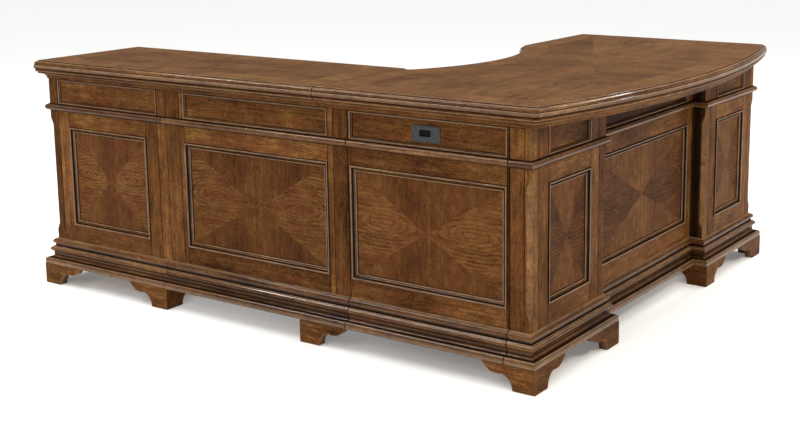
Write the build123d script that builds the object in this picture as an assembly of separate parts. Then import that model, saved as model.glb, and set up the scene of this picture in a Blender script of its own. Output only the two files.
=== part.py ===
"""L-shaped executive corner desk: a bow-front desk with one pedestal and a return with another.

Everything is laid out from the outside corner where the two long faces meet: X runs back along
the return's face (negative), Y runs along the visitor face, Z is up.  save() then moves each piece
so that the origin is at the middle of the footprint, on the floor.
"""

from build123d import *
import math
import os

# ---- driving dimensions, millimetres -------------------------------------------------------
HEIGHT = 762.0           # 30 in desk height
FACE_LENGTH = 1918.0     # long face, desk end plus return
DESK_LENGTH = 1630.0     # visitor face of the desk
DESK_DEPTH = 736.0       # straight far end of the desk
BOW = 116.0              # how far the visitor edge bows out
RETURN_DEPTH = 470.0
INSET = 34.0             # slab edge to carcase face
RECESS = 46.0            # centre visitor panel behind the two pilaster modules

SLAB = 27.0              # thickness of the two tops
CROWN = 35.0             # moulding and sub-top under the slab
TOP_SEAM = 727.0         # joint between desk top and return top
BODY_SEAM = 627.0        # joint between return back and desk end panel
END_PANEL = 98.0         # corner to desk end panel
PEDESTAL_EDGE = 1342.0   # knee side of the return pedestal
PEDESTAL_Y = 1173.0      # knee side of the desk pedestal
NEAR_MODULE = 455.0      # end of the near visitor module

FOOT_H = 68.0
BASE_TOP = 155.0
PANEL_Z = (211.0, 543.0)
BEAD_Z = (594.0, 617.0)
FRIEZE_Z = (619.0, 698.0)

FRAME_T = 22.0
POST = 40.0
CHAMFER = 11.0
MARGIN = 92.0            # pedestal edge to panel opening
SEAM_GAP = 1.0
DRAWER_GAP = 1.5
FRONT_T = 20.0
SIDE_T = 18.0

BITE_RADIUS = 590.0      # curve of the user's edge
BITE_DEPTH = 131.0
BITE_Y = 785.0
BITE_START = 456.0       # user's edge at the top seam
HORN_RADIUS = 150.0
CORNER_CLIP = 12.0
EDGE_EASE = 11.0         # chamfer under the ovolo of the tops
CROWN_RETURN = 60.0      # how far the desk crown turns the user's corner

PANEL_MOULD = (18.0, 4.0, 8.0)       # width, projection and board recess of a lower panel
FRIEZE_MOULD = (8.0, 3.0, 6.0)
KNEE_STILES = (77.0, 73.0)
PANEL_STILE = 6.0
CENTRE_STILE = 43.0
CORNER_RETURN = 19.0     # near corner post, thickness of the visitor leg
BOTTOM_Z = (137.0, 150.0)

FOOT_BLOCK = 70.0        # square part of a bracket foot at the floor
FOOT_LENGTH = 165.0
FOOT_T = 30.0
MIDDLE_FOOT = 794.0      # foot under the middle of the long face

# Each drawer zone is the height of its front, lowest first.
RETURN_ZONES = {"return_file": (158.0, 492.0), "return_box": (500.0, 692.0)}
DESK_ZONES = {"desk_file": (158.0, 444.0), "desk_middle": (452.0, 580.0),
              "desk_upper": (588.0, 692.0)}
RAIL = 8.0
WALL_T = 12.0
DRAWER_BOTTOM = 8.0
SLIDE_T = 13.0           # side clearance between drawer box and bank opening
BOX_RISE = 10.0          # box above the lower edge of its front
BOX_MAX = 220.0
RETURN_BOX = 336.0       # length of the drawer boxes
DESK_BOX = 480.0
FIELD_EDGE = (26.0, 18.0)            # margins of the sunk field of a drawer front
FIELD_SINK = 2.0
GRIP = 48.0              # half the span of a pull
PULL_REACH = 22.0
RUNNER = (30.0, 52.0)    # runner above the underside of the box

CENTRE_FRONT_X = -560.0
CENTRE_Z = (606.0, 694.0)
CENTRE_SPAN = (520.0, 1120.0)
CENTRE_BOX = 380.0

PORT = (-362.0, 655.0)   # middle of the port plate on the long face
PORT_SIZE = (92.0, 46.0, 3.0)
PORT_SLOT = (36.0, 18.0)
PORT_SLOT_OFF = (-3.0, 2.0)

# ---- values worked out from them ------------------------------------------------------------
SLAB_Z = HEIGHT - SLAB
CROWN_Z = SLAB_Z - CROWN
BOW_R = ((DESK_LENGTH / 2) ** 2 + BOW ** 2) / (2 * BOW)
BOW_CENTRE = (BOW - BOW_R, DESK_LENGTH / 2)
BITE_CENTRE = (BITE_DEPTH - DESK_DEPTH - BITE_RADIUS, BITE_Y)
SHIFT = ((FACE_LENGTH - BOW) / 2, -DESK_LENGTH / 2, 0)

BODY_X0 = -FACE_LENGTH + INSET
RETURN_Y1 = RETURN_DEPTH - INSET
DESK_Y1 = DESK_LENGTH - INSET
PED_X0 = -DESK_DEPTH + INSET
CENTRE_X = -INSET - RECESS
CHEEK_Y = (CENTRE_SPAN[0] - SIDE_T / 2, CENTRE_SPAN[1] + SIDE_T / 2)


def save(name, shape):
    """Write one sub-part, moved to the middle of the footprint."""
    export_step(Pos(*SHIFT) * shape, f"parts/{name}.step")


def block(x0, x1, y0, y1, z0, z1):
    """A box from its limits."""
    size = (abs(x1 - x0), abs(y1 - y0), abs(z1 - z0))
    return Pos((x0 + x1) / 2, (y0 + y1) / 2, (z0 + z1) / 2) * Box(*size)


def group(shapes):
    """Several separate solids that share one node."""
    return Compound(children=list(shapes))


# ---- mouldings --------------------------------------------------------------------------------
def moulding(path, profile):
    """Sweep a (projection, height) profile round a path, mitred, projecting to its right."""
    start, along = path @ 0, path % 0
    outward = Vector(along.Y, -along.X, 0)
    plane = Plane(origin=start, x_dir=outward, z_dir=along)
    outline = [(out, -up) for out, up in profile]
    section = plane * make_face(Polyline(*outline, close=True))
    return sweep(section, path=path, transition=Transition.RIGHT)


def flat_path(points):
    return Polyline(*[(x, y, 0) for x, y in points])


def base_profile():
    """Ovolo, fillet, torus and a deep bottom band, widening to the feet."""
    return [(0, BASE_TOP), (3, 151), (8, 147), (13.5, 141), (13.5, 138), (7, 136), (7, 128),
            (13.5, 125.5), (18, 121), (20, 115), (18, 110), (13, 107), (12, 104), (12, 97),
            (14, 93), (27, 89), (32, 85), (33, 81), (33, FOOT_H), (0, FOOT_H)]


def bead_profile():
    """Half-round waist bead between two small fillets."""
    low, high = BEAD_Z
    middle, radius = (low + high) / 2, (high - low) / 2 - 1.5
    arc = [(2 + radius * math.cos(a), middle + radius * math.sin(a))
           for a in [math.radians(90 - 20 * i) for i in range(10)]]
    return [(0, high), (2, high)] + arc + [(2, low), (0, low)]


def crown_profile():
    """Cove under two square bands that carry the slab."""
    rise, run = 17.0, 18.0
    cove = [(run - run * math.cos(a), CROWN_Z + rise * math.sin(a))
            for a in [math.radians(15 * i) for i in range(7)]]
    return cove + [(23, CROWN_Z + rise), (23, 724), (30, 726), (30, SLAB_Z), (0, SLAB_Z)]


# ---- tops -------------------------------------------------------------------------------------
def desk_outline(inset):
    """Plan of the desk top: bowed outside, scooped on the user's side."""
    x0, y0, y1 = -DESK_DEPTH + inset, inset, DESK_LENGTH - inset
    plan = Pos((x0 + 200) / 2, (y0 + y1) / 2) * Rectangle(200 - x0, y1 - y0)
    plan &= Pos(*BOW_CENTRE) * Circle(BOW_R - inset)
    plan -= Pos(*BITE_CENTRE) * Circle(BITE_RADIUS + inset)
    plan -= Pos(-TOP_SEAM - 50, 500) * Rectangle(100, 1000)
    edge_y = BITE_START - inset
    ledge = 40.0
    plan += Pos(-TOP_SEAM + ledge / 2, (edge_y + y0) / 2) * Rectangle(ledge, edge_y - y0)
    horn = [v for v in plan.vertices() if v.X < -600 and 1000 < v.Y < 1300]
    return fillet(horn, HORN_RADIUS - inset)


def slab(plan, seam_x):
    """A top with clipped outer corners and an eased upper edge, square at the seam."""
    solid = extrude(plan, SLAB, dir=(0, 0, 1))
    rims = [e for e in solid.faces().sort_by(Axis.Z)[-1].edges()
            if abs(e.center().X - seam_x) > 1]
    return Pos(0, 0, SLAB_Z) * chamfer(rims, EDGE_EASE)


def make_tops():
    plan = desk_outline(0)
    corners = [v for v in plan.vertices() if v.X > -60 and (v.Y < 100 or v.Y > DESK_LENGTH - 100)]
    save("desk_top", slab(chamfer(corners, CORNER_CLIP), -TOP_SEAM))
    length = FACE_LENGTH - TOP_SEAM - SEAM_GAP
    plan = Pos(-FACE_LENGTH + length / 2, RETURN_DEPTH / 2) * Rectangle(length, RETURN_DEPTH)
    save("return_top", slab(plan, -TOP_SEAM - SEAM_GAP))


def make_subtops():
    """Build-up boards under the slabs; the desk's has cheeks that carry the centre drawer."""
    board = Pos(0, 0, CROWN_Z) * extrude(desk_outline(INSET), CROWN, dir=(0, 0, 1))
    for y in CHEEK_Y:
        board += block(CENTRE_FRONT_X, CENTRE_X - FRAME_T, y - SIDE_T / 2, y + SIDE_T / 2,
                       CENTRE_Z[0], CROWN_Z)
    save("desk_subtop", board)
    save("return_subtop", block(BODY_X0, -TOP_SEAM - SEAM_GAP, INSET, RETURN_Y1, CROWN_Z, SLAB_Z))


def make_crowns():
    radius = BOW_R - INSET
    half = DESK_LENGTH / 2 - INSET
    corner_x = BOW_CENTRE[0] + math.sqrt(radius ** 2 - half ** 2)
    bow = ThreePointArc((corner_x, INSET, 0), (BOW - INSET, DESK_LENGTH / 2, 0),
                        (corner_x, DESK_Y1, 0))
    left = Line((-TOP_SEAM, INSET, 0), bow @ 0)
    end = Line(bow @ 1, (PED_X0, DESK_Y1, 0))
    back = Line(end @ 1, (PED_X0, PEDESTAL_Y + CROWN_RETURN, 0))
    save("desk_crown", moulding(Wire([left, bow, end, back]), crown_profile()))
    seam = -TOP_SEAM - SEAM_GAP
    path = flat_path([(seam, RETURN_Y1), (BODY_X0, RETURN_Y1), (BODY_X0, INSET), (seam, INSET)])
    save("return_crown", moulding(path, crown_profile()))


# ---- runs of moulding round the carcase ----------------------------------------------------------
def visitor_points(start_x):
    """Carcase line of the desk from the long face round the visitor side to the user's corner."""
    return [(start_x, INSET), (-INSET, INSET), (-INSET, NEAR_MODULE), (CENTRE_X, NEAR_MODULE),
            (CENTRE_X, PEDESTAL_Y), (-INSET, PEDESTAL_Y), (-INSET, DESK_Y1), (PED_X0, DESK_Y1)]


def make_runs():
    start = -END_PANEL + SEAM_GAP
    panel = [(-BODY_SEAM + SEAM_GAP, INSET), (-END_PANEL - SEAM_GAP, INSET)]
    around = [(BODY_X0, RETURN_Y1), (BODY_X0, INSET), (-BODY_SEAM - SEAM_GAP, INSET)]
    save("desk_bead", moulding(flat_path(visitor_points(start)), bead_profile()))
    save("end_panel_bead", moulding(flat_path(panel), bead_profile()))
    save("return_bead", moulding(flat_path(around), bead_profile()))
    desk = visitor_points(start) + [(PED_X0, PEDESTAL_Y)]
    save("desk_base_moulding", moulding(flat_path(desk), base_profile()))
    save("end_panel_base_moulding", moulding(flat_path(panel), base_profile()))
    around = [(-PEDESTAL_EDGE, RETURN_Y1)] + around
    save("return_base_moulding", moulding(flat_path(around), base_profile()))


# ---- framed walls ---------------------------------------------------------------------------------
def on_face(face, x, y):
    """Place a wall drawn with X along it and Y going inward onto one side of the desk."""
    turn = {"long": 0, "visitor": 90, "far": 180, "return_end": -90}[face]
    return Location((x, y, 0), (0, 0, turn))


def framed(length, lower, frieze):
    """Stiles and rails with a lower and a frieze opening, given as distances along the wall."""
    frame = block(0, length, 0, FRAME_T, FOOT_H, CROWN_Z)
    for (a, b), (low, high) in ((lower, PANEL_Z), (frieze, FRIEZE_Z)):
        frame -= block(a, b, 0, FRAME_T, low, high)
    return frame


def panel(span, heights, mould):
    """A board with its mitred moulding: the moulding fills the opening's edge and stands proud."""
    (a, b), (low, high) = span, heights
    width, proud, recess = mould
    back = recess + 9
    ring = block(a, b, -proud, back, low, high)
    ring -= block(a + width, b - width, -proud, back, low + width, high - width)
    inner = ring.edges().filter_by(Plane.XZ).group_by(Axis.Y)[0]
    inner = [e for e in inner if a + 1 < e.center().X < b - 1 and low + 1 < e.center().Z < high - 1]
    ring = chamfer(inner, width * 0.45)
    return ring + block(a + width, b - width, recess, back, low + width, high - width)


def wall(name, place, length, lower, frieze):
    """Save one wall's frame, and its two panels as a node of two boards."""
    save(f"{name}_frame", place * framed(length, lower, frieze))
    boards = [panel(lower, PANEL_Z, PANEL_MOULD), panel(frieze, FRIEZE_Z, FRIEZE_MOULD)]
    save(f"{name}_panels", group(place * board for board in boards))


def make_walls():
    start = BODY_X0 + POST
    lower = (MARGIN - POST, -PEDESTAL_EDGE - MARGIN - start)
    frieze = (5, -PEDESTAL_EDGE - POST - start)
    wall("return_back", on_face("long", start, INSET), -PEDESTAL_EDGE - start, lower, frieze)

    length = PEDESTAL_EDGE - BODY_SEAM - SEAM_GAP
    opening = (KNEE_STILES[0], length - KNEE_STILES[1])
    wall("knee_back", on_face("long", -PEDESTAL_EDGE, INSET), length, opening, opening)

    length = BODY_SEAM - END_PANEL - 2 * SEAM_GAP
    opening = (PANEL_STILE, length - PANEL_STILE)
    wall("end_panel", on_face("long", -BODY_SEAM + SEAM_GAP, INSET), length, opening, opening)

    begin = INSET + POST
    length = NEAR_MODULE - POST - begin
    opening = (MARGIN - POST, length - (MARGIN - POST))
    wall("near_front", on_face("visitor", -INSET, begin), length, opening, opening)

    length = PEDESTAL_Y - NEAR_MODULE
    opening = (CENTRE_STILE, length - CENTRE_STILE)
    wall("centre_front", on_face("visitor", CENTRE_X, NEAR_MODULE), length, opening, opening)

    begin = PEDESTAL_Y + POST
    length = DESK_Y1 - POST - begin
    opening = (MARGIN - POST, length - (MARGIN - POST))
    wall("far_front", on_face("visitor", -INSET, begin), length, opening, opening)

    length = -INSET - POST - (PED_X0 + POST)
    opening = (MARGIN - POST, length - (MARGIN - POST))
    wall("far_end", on_face("far", -INSET - POST, DESK_Y1), length, opening, opening)

    length = RETURN_Y1 - INSET - 2 * POST
    opening = (MARGIN - POST, length - (MARGIN - POST))
    wall("return_end", on_face("return_end", BODY_X0, RETURN_Y1 - POST), length, opening, opening)


# ---- posts, knee sides and bottoms -------------------------------------------------------------------
def stopped_chamfer(x, y, turn):
    """Wedge that takes the arris off a post at an outside corner, stopped above and below."""
    low, high = PANEL_Z[0] - 24, PANEL_Z[1] + 24
    wedge = make_face(Polyline((0, 0), (CHAMFER, 0), (0, CHAMFER), close=True))
    prism = extrude(wedge, high - low, dir=(0, 0, 1))
    return Location((x, y, low), (0, 0, turn)) * prism


def make_posts():
    near = block(-END_PANEL + SEAM_GAP, -INSET, INSET, INSET + FRAME_T, FOOT_H, CROWN_Z)
    near += block(-INSET - CORNER_RETURN, -INSET, INSET, INSET + POST, FOOT_H, CROWN_Z)
    save("near_corner_post", near - stopped_chamfer(-INSET, INSET, 90))

    deep = RECESS + FRAME_T
    post = block(-INSET - deep, -INSET, NEAR_MODULE - POST, NEAR_MODULE, FOOT_H, CROWN_Z)
    save("near_inner_post", post - stopped_chamfer(-INSET, NEAR_MODULE, 180))
    post = block(-INSET - deep, -INSET, PEDESTAL_Y, PEDESTAL_Y + POST, FOOT_H, CROWN_Z)
    save("far_inner_post", post - stopped_chamfer(-INSET, PEDESTAL_Y, 90))
    post = block(-INSET - POST, -INSET, DESK_Y1 - POST, DESK_Y1, FOOT_H, CROWN_Z)
    save("far_corner_post", post - stopped_chamfer(-INSET, DESK_Y1, 180))
    post = block(BODY_X0, BODY_X0 + POST, INSET, INSET + POST, FOOT_H, CROWN_Z)
    save("return_corner_post", post - stopped_chamfer(BODY_X0, INSET, 0))


def make_insides():
    back = -PEDESTAL_EDGE
    save("return_knee_side", block(back - SIDE_T, back, INSET + FRAME_T, RETURN_Y1 - POST,
                                   FOOT_H, CROWN_Z))
    save("return_bottom", block(BODY_X0 + FRAME_T, back - SIDE_T, INSET + POST, RETURN_Y1 - POST,
                                *BOTTOM_Z))
    inner = CENTRE_X - FRAME_T
    save("pedestal_knee_side", block(PED_X0 + POST, inner, PEDESTAL_Y, PEDESTAL_Y + SIDE_T,
                                     FOOT_H, CROWN_Z))
    save("pedestal_bottom", block(PED_X0 + POST, inner, PEDESTAL_Y + SIDE_T, DESK_Y1 - FRAME_T,
                                  *BOTTOM_Z))


# ---- drawers -----------------------------------------------------------------------------------
# Each bank is drawn with X across it, Y out towards the user and Z up, front face at Y = 0.
def drawer_front(width, low, high):
    """Solid front with a shallow sunk field."""
    half = width / 2 - DRAWER_GAP
    side, rail = FIELD_EDGE
    front = block(-half, half, -FRONT_T, 0, low, high)
    return front - block(-half + side, half - side, -FIELD_SINK, 0, low + rail, high - rail)


def drawer_box(width, length, low, high):
    """Open tray behind the front."""
    half = width / 2 - SLIDE_T
    tray = block(-half, half, -FRONT_T - length, -FRONT_T, low, high)
    return tray - block(-half + WALL_T, half - WALL_T, -FRONT_T - length + WALL_T,
                        -FRONT_T - WALL_T, low + DRAWER_BOTTOM, high)


def pull(z):
    """Bail pull on two posts, screwed to the sunk field of the front."""
    bar, stem = 4.0, 5.0
    post = PULL_REACH + FIELD_SINK
    parts = Pos(0, PULL_REACH, z) * Rot(0, 90, 0) * Cylinder(bar, 2 * (GRIP + bar))
    for side in (-1, 1):
        parts += Pos(side * GRIP, post / 2 - FIELD_SINK, z) * Rot(90, 0, 0) * Cylinder(stem, post)
    return parts


def bank(place, zones, width, length):
    for name, (low, high) in zones.items():
        top = min(high - WALL_T, low + BOX_RISE + BOX_MAX)
        save(f"{name}_drawer_front", place * drawer_front(width, low, high))
        save(f"{name}_drawer_box", place * drawer_box(width, length, low + BOX_RISE, top))
        save(f"{name}_pull", place * pull((low + high) / 2))


def face_frame(width, zones):
    """Two posts with the rails between the drawers of one bank."""
    half = width / 2
    frame = block(-half - POST, -half, -POST, 0, FOOT_H, CROWN_Z)
    frame += block(half, half + POST, -POST, 0, FOOT_H, CROWN_Z)
    lows = sorted(low for low, high in zones.values())
    highest = max(high for low, high in zones.values())
    rails = [(FOOT_H, lows[0] - DRAWER_GAP), (highest + DRAWER_GAP, CROWN_Z)]
    rails += [(low - RAIL + DRAWER_GAP, low - DRAWER_GAP) for low in lows[1:]]
    for low, high in rails:
        frame += block(-half, half, -FRAME_T, 0, low, high)
    for side, turn in ((-1, -90), (1, 180)):
        frame -= stopped_chamfer(side * (half + POST), 0, turn)
    return frame


def runners(place, width, length, zones, reach):
    """Hardwood runners either side of each drawer box, fixed to the sides of the bank."""
    half = width / 2
    bars = []
    for low, high in zones.values():
        for side in (-1, 1):
            inner, outer = side * (half - SLIDE_T + 1), side * (half + reach)
            bars.append(place * block(inner, outer, -length, -POST - 2, low + BOX_RISE + RUNNER[0],
                                      low + BOX_RISE + RUNNER[1]))
    return bars


def make_drawers():
    width = -PEDESTAL_EDGE - POST - (BODY_X0 + POST)
    middle = (BODY_X0 + POST - PEDESTAL_EDGE - POST) / 2
    place = Location((middle, RETURN_Y1, 0))
    bank(place, RETURN_ZONES, width, RETURN_BOX)
    save("return_face_frame", place * face_frame(width, RETURN_ZONES))
    bars = runners(place, width, RETURN_BOX, RETURN_ZONES, POST - FRAME_T)

    width = DESK_Y1 - PEDESTAL_Y - 2 * POST
    place = Location((PED_X0, (DESK_Y1 + PEDESTAL_Y) / 2, 0), (0, 0, 90))
    bank(place, DESK_ZONES, width, DESK_BOX)
    save("pedestal_face_frame", place * face_frame(width, DESK_ZONES))
    bars += runners(place, width, DESK_BOX, DESK_ZONES, POST - FRAME_T)

    width = CENTRE_SPAN[1] - CENTRE_SPAN[0]
    place = Location((CENTRE_FRONT_X, sum(CENTRE_SPAN) / 2, 0), (0, 0, 90))
    low, high = CENTRE_Z
    save("centre_drawer_front", place * drawer_front(width, low, high))
    save("centre_drawer_box", place * drawer_box(width, CENTRE_BOX, low + BOX_RISE, high - 6))
    half = width / 2
    for side in (-1, 1):
        bars.append(place * block(side * (half - SLIDE_T + 1), side * half, -CENTRE_BOX,
                                  -FRONT_T - 2, low + BOX_RISE + RUNNER[0],
                                  low + BOX_RISE + RUNNER[1]))
    save("drawer_runners", group(bars))


# ---- feet and fittings -------------------------------------------------------------------------
def foot_wing():
    """One face of a bracket foot: square block, cove and a rounded tip, X along it, Y inward."""
    cove = [(FOOT_BLOCK + 40 - 40 * math.cos(a), 38 * math.sin(a))
            for a in [math.radians(15 * i) for i in range(1, 7)]]
    tip = [(FOOT_LENGTH - 26, 41), (FOOT_LENGTH - 8, 52), (FOOT_LENGTH, FOOT_H), (0, FOOT_H)]
    outline = [(0, 0), (FOOT_BLOCK, 0)] + cove + tip
    face = Plane.XZ * make_face(Polyline(*outline, close=True))
    return extrude(face, FOOT_T, dir=(0, 1, 0))


def foot(x, y, along_x, along_y):
    """Bracket foot at a corner, with a wing along X and one along Y towards the given signs."""
    wing = foot_wing()
    first = wing if along_x > 0 else mirror(wing, Plane.YZ)
    first = first if along_y > 0 else mirror(first, Plane.XZ)
    second = mirror(wing, Plane(origin=(0, 0, 0), z_dir=(1, -1, 0)))
    second = second if along_x > 0 else mirror(second, Plane.YZ)
    second = second if along_y > 0 else mirror(second, Plane.XZ)
    return Pos(x, y, 0) * (first + second)


def make_feet():
    desk = [(0, 0, -1, 1), (0, NEAR_MODULE + INSET, -1, -1), (0, PEDESTAL_Y - INSET, -1, 1),
            (0, DESK_LENGTH, -1, -1), (-DESK_DEPTH, DESK_LENGTH, 1, -1),
            (-DESK_DEPTH, PEDESTAL_Y, 1, 1)]
    back = [(-FACE_LENGTH, 0, 1, 1), (-PEDESTAL_EDGE, 0, -1, 1), (-MIDDLE_FOOT, 0, 1, 1),
            (-FACE_LENGTH, RETURN_DEPTH, 1, -1), (-PEDESTAL_EDGE, RETURN_DEPTH, -1, -1)]
    save("desk_feet", group(foot(*place) for place in desk))
    save("return_feet", group(foot(*place) for place in back))


def make_port():
    """Flush port plate with its opening, on the frieze board of the desk end panel."""
    x, z = PORT
    width, height, thick = PORT_SIZE
    board = INSET + FRIEZE_MOULD[2]
    plate = block(x - width / 2, x + width / 2, board - thick, board, z - height / 2, z + height / 2)
    slot_x, slot_z = x + PORT_SLOT_OFF[0], z + PORT_SLOT_OFF[1]
    plate -= block(slot_x - PORT_SLOT[0] / 2, slot_x + PORT_SLOT[0] / 2, board - thick, board - 1,
                   slot_z - PORT_SLOT[1] / 2, slot_z + PORT_SLOT[1] / 2)
    corners = plate.edges().filter_by(Axis.Y).group_by(Axis.X)
    save("port_plate", fillet(corners[0] + corners[-1], 6))


os.makedirs("parts", exist_ok=True)
make_tops()
make_subtops()
make_crowns()
make_runs()
make_walls()
make_posts()
make_insides()
make_drawers()
make_feet()
make_port()
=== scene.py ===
"""L-shaped executive desk in stained hardwood and matched veneer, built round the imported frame."""

import bpy
import bmesh
import math
import random
from mathutils import Matrix, Vector


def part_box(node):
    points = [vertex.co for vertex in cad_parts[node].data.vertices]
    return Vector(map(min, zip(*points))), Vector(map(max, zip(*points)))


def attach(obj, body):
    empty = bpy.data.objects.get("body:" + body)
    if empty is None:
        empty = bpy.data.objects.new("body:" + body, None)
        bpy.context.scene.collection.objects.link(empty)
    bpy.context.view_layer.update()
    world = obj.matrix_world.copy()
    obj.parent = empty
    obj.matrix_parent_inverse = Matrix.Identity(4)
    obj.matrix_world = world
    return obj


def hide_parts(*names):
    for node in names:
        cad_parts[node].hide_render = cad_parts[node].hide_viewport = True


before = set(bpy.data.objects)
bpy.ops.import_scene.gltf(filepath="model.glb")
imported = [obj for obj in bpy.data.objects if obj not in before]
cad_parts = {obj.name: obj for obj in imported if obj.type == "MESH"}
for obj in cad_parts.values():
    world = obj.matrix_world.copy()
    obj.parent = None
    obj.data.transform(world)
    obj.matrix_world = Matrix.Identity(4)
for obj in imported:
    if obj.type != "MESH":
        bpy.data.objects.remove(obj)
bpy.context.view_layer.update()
rng = random.Random(11)

MM = 0.001
RIGHT, INTO, UP = Vector((1, 0, 0)), Vector((0, 1, 0)), Vector((0, 0, 1))
FILLED, LINED, RUB_AND_HIGHLIGHT = -1.0, -0.8, 0.3      # grooves full of glaze, glazed arrises, rubbed arrises that also carry a painted highlight
AROUND = ((-1, -1), (1, -1), (1, 1), (-1, 1))                              # corners of a square
SIGNS = [(a, b, c) for a in (-1, 1) for b in (-1, 1) for c in (-1, 1)]    # corners of a block

# ---- heights and lines of the carcase, read from the frame ----
FOOT_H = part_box("desk_base_moulding")[0].z
BEAD_LOW, BEAD_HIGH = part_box("desk_bead")[0].z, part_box("desk_bead")[1].z
CROWN_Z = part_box("desk_crown")[0].z
SLAB_Z, TOP_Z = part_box("desk_top")[0].z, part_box("desk_top")[1].z
BODY_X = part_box("near_corner_post")[1].x
BODY_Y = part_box("near_corner_post")[0].y
RETURN_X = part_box("return_corner_post")[0].x
RETURN_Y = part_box("return_face_frame")[1].y
RETURN_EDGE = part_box("return_face_frame")[1].x
FAR_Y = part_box("far_corner_post")[1].y
PED_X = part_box("pedestal_face_frame")[0].x
PED_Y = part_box("pedestal_face_frame")[0].y
NEAR_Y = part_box("near_inner_post")[1].y
CENTRE_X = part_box("centre_front_frame")[1].x
TOP_LO, TOP_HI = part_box("desk_top")
RET_LO, RET_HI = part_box("return_top")
PANEL_Z = (211 * MM, 543 * MM)
FRIEZE_Z = (619 * MM, 698 * MM)
POST = 40 * MM
THICK = 22 * MM          # frames of the walls and of the drawer banks
MARGIN = 52 * MM         # pedestal post to panel opening
LEAF_IN = 17 * MM        # panel opening to the veneer's edge, under the moulding
LEAF_DEPTH = 8 * MM      # wall's face back to the veneer
FRIEZE_BOARD = (6 * MM, 15 * MM)          # front and back of the frieze boards
BACKING = (9 * MM, 17 * MM)               # and of the boards behind the veneer
LIP = 6 * MM             # end panel's edge to its openings
NARROW = 43 * MM         # centre front's edge to its openings
BACK_JOINT = 11 * MM     # pedestal edge to the joint between the two back modules
MIDDLE_FOOT = 760 * MM   # visitor face to the foot under the end panel's joint
OVERHANG = BODY_Y - TOP_LO.y
GROOVE = 1.6 * MM        # half width and depth of the grooves in a post
SEAM = 1 * MM            # gap between neighbouring pieces
ARRIS = 1.0 * MM         # what the eased edges of the two tops add to that gap, each


# ---- mesh building ----
def link(name, data):
    """An object with this data, linked to the scene."""
    piece = bpy.data.objects.new(name, data)
    bpy.context.scene.collection.objects.link(piece)
    return piece


def settle(name, mesh, materials, body, nodes, crease):
    """Finish a mesh, put it on its body and say which CAD nodes it stands for."""
    for material in materials:
        mesh.materials.append(material)
    mesh.shade_smooth()
    mesh.set_sharp_from_angle(angle=math.radians(crease))
    piece = link(name, mesh)
    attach(piece, body)
    if nodes:
        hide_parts(*nodes)


class Shape:
    """Faces with corner attributes: grain place, edge wear with painted highlights and painted shade,
    board tone with painted light and shade and, in veneer, swirl.
    """

    def __init__(self):
        self.verts, self.faces = [], []
        self.grain, self.wear, self.tone, self.swirl = [], [], [], []

    def point(self, co):
        self.verts.append(Vector(co))
        return len(self.verts) - 1

    def face(self, corners, grains, wears, tone):
        self.faces.append(corners)
        self.grain += grains
        self.wear += wears
        self.tone += [tone] * len(corners)

    def build(self, name, material, *nodes, body="carcase", slot="case_wood", closed=True):
        mesh = bpy.data.meshes.new(name)
        mesh.from_pydata([tuple(v) for v in self.verts], [], self.faces)
        for label, places in (("grain", self.grain), ("swirl", self.swirl)):
            if places:
                layer = mesh.attributes.new(label, "FLOAT_VECTOR", "CORNER")
                layer.data.foreach_set("vector", [c for place in places for c in place])
        for label, values in (("wear", self.wear), ("tone", self.tone)):
            mesh.attributes.new(label, "FLOAT", "CORNER").data.foreach_set("value", values)
        if closed:
            outward(mesh)
        settle(name, mesh, [material], body, nodes, 32)


def outward(data):
    """Point every face of closed boards outward, keeping the corner attributes."""
    mesh = bmesh.new()
    mesh.from_mesh(data)
    bmesh.ops.recalc_face_normals(mesh, faces=mesh.faces)
    mesh.to_mesh(data)
    mesh.free()


def scatter():
    """A random place in the log for one board."""
    return Vector((rng.uniform(-9, 9), rng.uniform(-9, 9), rng.uniform(-9, 9)))


def board(shape, lo, hi, along, place=Matrix.Identity(4), arris=1.2 * MM, wear=LINED, tone=None):
    """A board between two corners with small chamfered arrises, grain along one local axis."""
    lo, hi = Vector(lo), Vector(hi)
    tone = rng.uniform(-1, 1) if tone is None else tone
    offset = scatter()
    middle = (lo + hi) / 2
    half = (hi - lo) / 2
    arris = min(arris, min(half) * 0.4)
    order = {"x": (0, 1, 2), "y": (1, 0, 2), "z": (2, 0, 1)}[along]

    index = {}
    for signs in SIGNS:
        for axis in range(3):
            co = Vector([signs[i] * (half[i] - (0 if i == axis else arris)) for i in range(3)])
            index[signs, axis] = (shape.point(place @ (middle + co)),
                                  Vector([co[i] for i in order]) + offset)

    def add(keys, value):
        corners, grains = zip(*[index[key] for key in keys])
        shape.face(corners, grains, [value] * len(keys), tone)

    def corner(axis, side, a, b):
        """Signs of a corner: its side of one axis, and a and b on the other two."""
        signs = [a, b]
        signs.insert(axis, side)
        return tuple(signs)

    for axis in range(3):
        u, v = [i for i in range(3) if i != axis]
        for side in (-1, 1):
            add([(corner(axis, side, a, b), axis) for a, b in AROUND], 0.0)
        for a, b in AROUND:
            low, high = corner(axis, -1, a, b), corner(axis, 1, a, b)
            add([(low, u), (high, u), (high, v), (low, v)], wear)
    for signs in SIGNS:
        add([(signs, 0), (signs, 1), (signs, 2)], wear)


def hold(profile, axis, value, *zones):
    """Give one value to each range of projections (axis 0) or heights (axis 1): glaze when negative,
    a painted highlight when positive.
    """
    zones = [(low * MM, high * MM) for low, high in zones]
    return [(p, value if any(low <= p[axis] <= high for low, high in zones) else wear)
            for p, wear in profile]


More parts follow.
